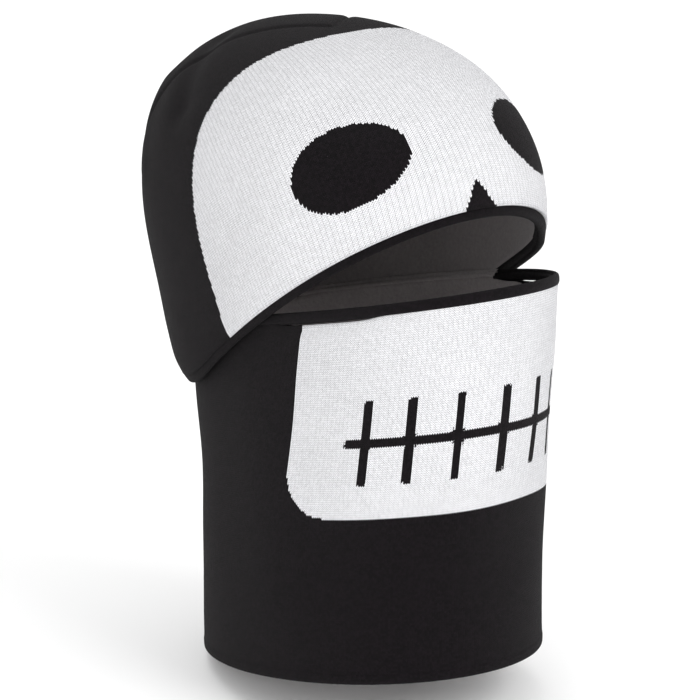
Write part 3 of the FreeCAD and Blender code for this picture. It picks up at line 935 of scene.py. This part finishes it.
class BALACLAVA_OT_tube(bpy.types.Operator):
    """Knit the neck tube with its mask, and its lining"""
    bl_idname = "balaclava.tube"
    bl_label = "Neck tube and mask"

    def execute(self, context):
        knit, edges, _ = settings()
        height = CHART_HEIGHT * MM
        low, high = (edges.hem_band + 0.6 * MM) / height, 1 - (edges.mask_band + 0.6 * MM) / height
        shell = surface_of("mask_shell", "neck_shell")
        shares, points = tube_sheet(shell, TUBE_COLUMNS, TUBE_ROWS, low, high)
        u = round_the_front(points)
        v = np.broadcast_to(shares[:, None] * CHART_HEIGHT, u.shape)
        out = outward(points)
        end = np.clip((v - 8) / 25, 0, 1) * np.clip((153 - v) / 20, 0, 1)
        swell = drape(points, 11, 1.6 * MM) * end
        seam_low, seam_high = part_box("neck_back_seam")
        dent = seam_dent(points, [((0.0, 0.0), math.radians(90), seam_low.z - 0.01, seam_high.z + 0.01)])
        shaped = points + out * (swell - dent * edges.groove)[..., None]
        keep_layer("tube", points=shaped, out=outward(shaped))
        for top in (True, False):
            shaped, u, v = run_on(shaped, u, v, KNIT_RUN_ON, top)
        jacquard = knit_material("Tube jacquard", knit, True, 0.55)
        cloth = sheet_mesh("tube_knit", shaped, u, v, jacquard, tube_chart)
        thicken(cloth, knit.cloth, -1)
        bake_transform(cloth)
        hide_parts("mask_shell", "neck_shell")

        inner = surface_of("mask_lining", "neck_lining")
        shares, points = tube_sheet(inner, LINING_COLUMNS, TUBE_LINING_ROWS, low, high, inside=True)
        u = round_the_front(points)
        v = np.broadcast_to(shares[:, None] * CHART_HEIGHT, u.shape)
        for top in (True, False):
            points, u, v = run_on(points, u, v, LINING_RUN_ON, top)
        fleece = sheet_mesh("tube_fleece", points, u, v, fleece_material(knit), flip=True)
        thicken(fleece, knit.lining, -1)
        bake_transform(fleece)
        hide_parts("mask_lining", "neck_lining")
        keep_layer("tube lining", points=points, out=outward(points))
        return {"FINISHED"}


class BALACLAVA_OT_edges(bpy.types.Operator):
    """Roll the edges of the hood and of the neck tube"""
    bl_idname = "balaclava.edges"
    bl_label = "Rolled edges"

    def execute(self, context):
        knit, edges, _ = settings()
        plain = knit_material("Plain knit", knit, False)
        hood = LAYERS["hood"]
        rims = hood["rims"]
        up = unit(soften((hood["points"][3] - rims)[None], 6)[0])
        along = np.roll(rims[:-1], -1, axis=0) - np.roll(rims[:-1], 1, axis=0)
        along = unit(np.concatenate([along, along[:1]]))
        out = unit(np.cross(along, up))
        out *= np.sign(np.sum(out * hood["out"][2], axis=1).mean())
        points = roll_points(rims, up, out, edges.hood_band, edges.proud)
        u, v = measured(points)
        roll = sheet_mesh("hood_rolled_edge", points, u, v, plain)
        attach(roll, "hood")
        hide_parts("hood_binding")
        rims, up, out = self.tube_end(top=True)
        front = rims[:, 1] < MASK_EDGE_BACK
        band = edges.mask_band
        self.tube_edge("mask_rolled_edge", rims, up, out, front, band, plain, "mask_binding", "rim_knit")
        lining = fleece_material(knit)
        back = rims[:, 1] > MASK_EDGE_BACK - 3 * MM
        band = TURNED_LINING
        self.tube_edge("neck_inner_edge", rims, up, out, back, band, lining, "neck_binding", "fleece_lining")
        rims, up, out = self.tube_end(top=False)
        whole = np.ones(len(rims), bool)
        band = edges.hem_band
        self.tube_edge("neck_hem_fold", rims, up, out, whole, band, plain, "neck_hem", "rim_knit", top=False)
        return {"FINISHED"}

    def tube_end(self, top):
        """The line of the tube's upper or lower edge, with the directions up the cloth and out of it."""
        layer = LAYERS["tube"]["points"]
        end, before = (layer[-1], layer[-4]) if top else (layer[0], layer[3])
        outwards = unit(soften((end - before)[None], 6)[0])
        middle, slope = (RIM_MIDDLE, RIM_SLOPE) if top else (HEM_MIDDLE, HEM_SLOPE)
        short = middle - slope * end[:, 1] - end[:, 2]
        rims = end + outwards * (short / (outwards[:, 2] + slope * outwards[:, 1]))[:, None]
        return rims, -outwards, LAYERS["tube"]["out"][-2 if top else 1]

    def tube_edge(self, name, rims, up, out, used, band, material, node, slot, top=True):
        """A rolled edge along the used part of one end of the tube; the top keeps its place baked into its
        mesh and is attached to no body, the hem is attached to the neck.
        """
        _, edges, _ = settings()
        closed = used.all()
        if not closed:
            ahead = used[len(used) // 2]
            order = np.flatnonzero(used) if ahead else self.behind(used)
            rims, up, out = rims[order], up[order], out[order]
        points = roll_points(rims, up, out, band, edges.proud if top else HEM_PROUD)
        u, v = measured(points)
        roll = sheet_mesh(name, points, u, v, material, flip=top, joined=closed)
        if top:
            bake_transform(roll)
        else:
            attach(roll, "neck")
        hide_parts(node)

    def behind(self, used):
        """Column numbers of the used part that goes through the back, in order."""
        count = len(used) - 1
        numbers = [i % count for i in range(count // 2, count // 2 + count)]
        return np.array([i for i in numbers if used[i]])


def thread_mesh(name, paths, radius, material):
    """Threads laid along paths, each a round bar with tapered, closed ends."""
    made = bmesh.new()
    sides = 8
    for path in paths:
        path = np.array(path)
        rows = len(path) - 1
        along = unit(np.gradient(path, axis=0))
        aside = unit(np.cross(along, (0.31, 0.22, 0.92)))
        over = np.cross(along, aside)
        sizes = radius * np.sqrt(np.clip(1 - np.linspace(-1, 1, rows + 1) ** 6, 0.0, 1.0))
        grid = bmesh.ops.create_grid(made, x_segments=sides, y_segments=rows, size=0.5)["verts"]
        for vert in grid:
            j, i = round((vert.co.y + 0.5) * rows), round((vert.co.x + 0.5) * sides)
            angle = 2 * math.pi * i / sides
            vert.co = path[j] + (aside[j] * math.cos(angle) + over[j] * math.sin(angle)) * sizes[j]
    bmesh.ops.remove_doubles(made, verts=made.verts, dist=2e-6)
    bmesh.ops.recalc_face_normals(made, faces=made.faces)
    return finish_mesh(made, name, material)


def face_grid(node, columns, rows, inset, back):
    """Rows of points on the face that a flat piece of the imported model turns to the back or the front."""
    low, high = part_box(node)
    tree = surface_of(node)
    start, way = (high.y + 0.02, -1) if back else (low.y - 0.02, 1)
    points = np.zeros((rows + 1, columns + 1, 3))
    for j, z in enumerate(np.linspace(low.z + inset, high.z - inset, rows + 1)):
        for i, x in enumerate(np.linspace(low.x + inset, high.x - inset, columns + 1)):
            found = tree.ray_cast(Vector((x, start, z)), Vector((0, way, 0)))[0]
            points[j, i] = found or tree.find_nearest(Vector((x, high.y if back else low.y, z)))[0]
    return points


class BALACLAVA_OT_seams(bpy.types.Operator):
    """Oversew the seams inside the hood and the neck tube"""
    bl_idname = "balaclava.seams"
    bl_label = "Seams"

    def execute(self, context):
        _, edges, _ = settings()
        names = [f"crown_seam_{place}" for place in DART_PLACES]
        for name in names + ["hood_back_seam"]:
            self.oversew(name, "hood lining", "hood", edges.seam_pitch)
        self.oversew("neck_back_seam", "tube lining", "neck", edges.seam_pitch)
        return {"FINISHED"}

    def oversew(self, node, layer, body, pitch):
        """A zigzag of thread on the inside of the lining, over one hidden seam."""
        points, out = LAYERS[layer]["points"], LAYERS[layer]["out"]
        low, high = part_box(node)
        middle = (low + high) / 2
        if body == "hood":
            away = middle - HOOD_CENTRE
            turn = math.atan2(away.dot(SIDE), away.dot(FACE))
            column = round((turn + math.pi) / (2 * math.pi) * (points.shape[1] - 1)) % (points.shape[1] - 1)
        else:
            column = int(points[len(points) // 2, :, 1].argmax())
        line, outs = points[:, column], out[:, column]
        used = (line[:, 2] > low.z + 1 * MM) & (line[:, 2] < high.z - 1 * MM)
        if "crown" in node:
            used = (line[:, 2] > low.z) & (np.arange(len(line)) < 0.93 * len(line))
        line, outs = line[used], outs[used]
        if len(line) < 3:
            raise RuntimeError(f"{node} has no lining beside it")
        steps = np.concatenate([[0], np.cumsum(np.linalg.norm(np.diff(line, axis=0), axis=1))])
        marks = np.arange(0.5 * pitch, steps[-1], pitch)
        line = np.array([np.interp(marks, steps, line[:, k]) for k in range(3)]).T
        outs = np.array([np.interp(marks, steps, outs[:, k]) for k in range(3)]).T
        aside = unit(np.cross(outs, np.gradient(line, axis=0)))
        swing = np.where(np.arange(len(line)) % 2, 1.0, -1.0) * 1.3 * MM
        path = line + aside * swing[:, None] - outs * 0.25 * MM
        knit, edges, _ = settings()
        piece = thread_mesh(node + "_thread", [path], 0.5 * edges.thread, thread_material(knit))
        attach(piece, body)
        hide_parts(node)


class BALACLAVA_OT_nape(bpy.types.Operator):
    """Sew the tape, the web and the bar tacks that hold the hood to the neck tube at the nape"""
    bl_idname = "balaclava.nape"
    bl_label = "Nape tape"

    def execute(self, context):
        knit, edges, _ = settings()
        thread = thread_material(knit)
        tape_cloth = woven_material("Woven tape", tuple(c * 2.2 for c in knit.black_yarn), 0.9, 0.9, 0.7)
        points = face_grid("nape_seam", 60, 12, 0.3 * MM, back=True)
        rows = np.linspace(-1, 1, points.shape[0])[:, None]
        columns = np.linspace(-1, 1, points.shape[1])[None]
        points[..., 1] -= 0.35 * MM * rows ** 6 + 0.12 * MM * (1 + np.sin(columns * 55)) * rows ** 2
        u, v = points[..., 0] / MM, points[..., 2] / MM
        tape = sheet_mesh("nape_tape", points, u, v, tape_cloth, flip=True)
        thicken(tape, 1.2 * MM, -1)
        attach(tape, "neck")
        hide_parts("nape_seam")

        paths = []
        for j in (2, -3):
            for i in range(2, points.shape[1] - 5, 4):
                path = points[j, i:i + 4].copy()
                path[:, 1] += np.array([-0.25, 0.2, 0.2, -0.25]) * MM
                paths.append(path)
        stitches = thread_mesh("nape_tape_stitches", paths, 0.4 * edges.thread, thread)
        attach(stitches, "neck")

        for side in ("left", "right"):
            node = f"nape_bartack_{side}"
            grid = face_grid(node, 4, 13, 0.35 * MM, back=True)
            grid[..., 1] += np.array([-1.1, -0.3, -0.1, -0.3, -1.1]) * MM
            tack = thread_mesh(node + "_threads", list(grid), 0.6 * edges.thread, thread)
            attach(tack, "neck")
            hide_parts(node)
        self.web(points, tape_cloth)
        return {"FINISHED"}

    def web(self, tape, cloth):
        """The strip of cloth that bends where the hood tips back."""
        inner = surface_of("hood_lining", "hood_binding")
        columns, rows = 40, 16
        low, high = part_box("nape_seam")
        points = np.zeros((rows + 1, columns + 1, 3))
        xs = np.linspace(low.x + 1.5 * MM, high.x - 1.5 * MM, columns + 1)
        for j, z in enumerate(np.linspace(high.z - 3 * MM, high.z + 7 * MM, rows + 1)):
            share = min(max((z - high.z) / (4 * MM), 0.0), 1.0)
            for i, x in enumerate(xs):
                under = np.interp(x, tape[-2, :, 0], tape[-2, :, 1]) - 0.9 * MM
                level = max(z, high.z + 4 * MM)
                found = inner.ray_cast(Vector((x, 0.03, level)), Vector((0, 1, 0)))[0]
                inside = found.y - 0.15 * MM
                points[j, i] = (x, under + (inside - under) * share, z)
        strip = sheet_mesh("nape_web", points, points[..., 0] / MM, points[..., 2] / MM, cloth, flip=True)
        thicken(strip, 0.7 * MM, -1)
        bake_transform(strip)


class BALACLAVA_OT_label(bpy.types.Operator):
    """Sew the blank label inside the back of the neck tube"""
    bl_idname = "balaclava.label"
    bl_label = "Label"

    def execute(self, context):
        knit, edges, _ = settings()
        points = face_grid("care_label", 24, 14, 0.2 * MM, back=False)
        downwards = np.linspace(1, 0, points.shape[0])[:, None]
        sideways = np.linspace(-1, 1, points.shape[1])[None]
        points[..., 1] -= 0.8 * MM * downwards ** 3 * sideways ** 2
        cloth = woven_material("Woven label", (0.72, 0.72, 0.70), 0.45, 0.45, 0.55)
        label = sheet_mesh("blank_label", points, points[..., 0] / MM, points[..., 2] / MM, cloth)
        thicken(label, 0.45 * MM, -1)
        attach(label, "neck")
        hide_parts("care_label")
        paths = []
        for i in range(1, points.shape[1] - 3, 3):
            path = points[-2, i:i + 3].copy()
            path[:, 1] += np.array([0.2, -0.15, 0.2]) * MM
            paths.append(path)
        stitches = thread_mesh("label_stitches", paths, 0.35 * edges.thread, thread_material(knit))
        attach(stitches, "neck")
        return {"FINISHED"}


class BALACLAVA_OT_stage(bpy.types.Operator):
    """Set the floor, the lights and the camera"""
    bl_idname = "balaclava.stage"
    bl_label = "Stage"

    def execute(self, context):
        _, _, stage = settings()
        self.make_floor(stage)
        self.make_lights()
        self.make_camera(stage)
        return {"FINISHED"}

    def make_floor(self, stage):
        made = bmesh.new()
        bmesh.ops.create_circle(made, cap_ends=True, segments=stage.floor_sides, radius=6.0)
        low, _ = cad_box
        bmesh.ops.translate(made, verts=made.verts, vec=(0, 0, low.z - 1.0 * MM))
        material, board, shader, place = new_material("Pale floor", 0.0)
        tone = board.noise(place, 3.0)
        colour = board.mix(tone, (0.97, 0.97, 0.97, 1), (0.99, 0.99, 0.99, 1))
        board.feed(shader.inputs["Base Color"], colour)
        shader.inputs["Roughness"].default_value = 0.9
        floor = finish_mesh(made, "floor", material)

    def make_lights(self):
        lamps = [
            ("key_light", (0.5, -1.7, 1.4), 1.2, 22.0),
            ("fill_light", (-1.5, -1.2, 0.5), 1.2, 15.0),
            ("back_light", (0.2, 1.2, 1.7), 1.2, 9.0),
        ]
        target = Vector((0, 0, 0.14))
        for name, place, size, power in lamps:
            light = bpy.data.lights.new(name, "AREA")
            light.size = size
            light.energy = power
            lamp = bpy.data.objects.new(name, light)
            lamp.location = place
            lamp.rotation_mode = "QUATERNION"
            lamp.rotation_quaternion = (target - Vector(place)).to_track_quat("-Z", "Y")
            bpy.context.scene.collection.objects.link(lamp)
        world = bpy.data.worlds.new("Studio")
        world.use_nodes = True
        world.node_tree.nodes["Background"].inputs[0].default_value = (1, 1, 1, 1)
        world.node_tree.nodes["Background"].inputs[1].default_value = 0.85
        bpy.context.scene.world = world
        bpy.context.scene.view_settings.view_transform = "Standard"

    def make_camera(self, stage):
        a, e = stage.azimuth, stage.elevation
        back = Vector((math.sin(a) * math.cos(e), -math.cos(a) * math.cos(e), math.sin(e)))
        aim = Vector((-0.012, 0.003, 0.150))
        camera_data = bpy.data.cameras.new("camera")
        camera_data.lens = stage.lens
        camera_data.sensor_width = 36.0
        camera_data.clip_end = 20.0
        camera = bpy.data.objects.new("camera", camera_data)
        camera.location = aim + back * stage.distance
        camera.rotation_mode = "QUATERNION"
        camera.rotation_quaternion = (-back).to_track_quat("-Z", "Y")
        bpy.context.scene.collection.objects.link(camera)
        bpy.context.scene.camera = camera


class BALACLAVA_PT_panel(bpy.types.Panel):
    """Sizes, colours and pieces of the balaclava"""
    bl_idname = "BALACLAVA_PT_panel"
    bl_label = "Knitted balaclava"
    bl_space_type = "VIEW_3D"
    bl_region_type = "UI"
    bl_category = "Balaclava"

    def draw(self, context):
        for group in settings():
            box = self.layout.box()
            for name in group.bl_rna.properties.keys():
                if name not in ("rna_type", "name"):
                    box.prop(group, name)
        for operator in OPERATORS:
            self.layout.operator(operator.bl_idname)


GROUPS = (KnitSettings, EdgeSettings, StageSettings)
OPERATORS = (
    BALACLAVA_OT_hood, BALACLAVA_OT_tube, BALACLAVA_OT_edges, BALACLAVA_OT_seams,
    BALACLAVA_OT_nape, BALACLAVA_OT_label, BALACLAVA_OT_stage,
)


def register():
    for each in (*GROUPS, *OPERATORS, BALACLAVA_PT_panel):
        bpy.utils.register_class(each)
    bpy.types.Scene.balaclava_knit = PointerProperty(type=KnitSettings)
    bpy.types.Scene.balaclava_edges = PointerProperty(type=EdgeSettings)
    bpy.types.Scene.balaclava_stage = PointerProperty(type=StageSettings)


def unregister():
    del bpy.types.Scene.balaclava_stage
    del bpy.types.Scene.balaclava_edges
    del bpy.types.Scene.balaclava_knit
    for each in reversed((*GROUPS, *OPERATORS, BALACLAVA_PT_panel)):
        bpy.utils.unregister_class(each)


def main():
    register()
    bpy.ops.balaclava.hood()
    bpy.ops.balaclava.tube()
    bpy.ops.balaclava.edges()
    bpy.ops.balaclava.seams()
    bpy.ops.balaclava.nape()
    bpy.ops.balaclava.label()
    bpy.ops.balaclava.stage()


if __name__ == "__main__":
    main()
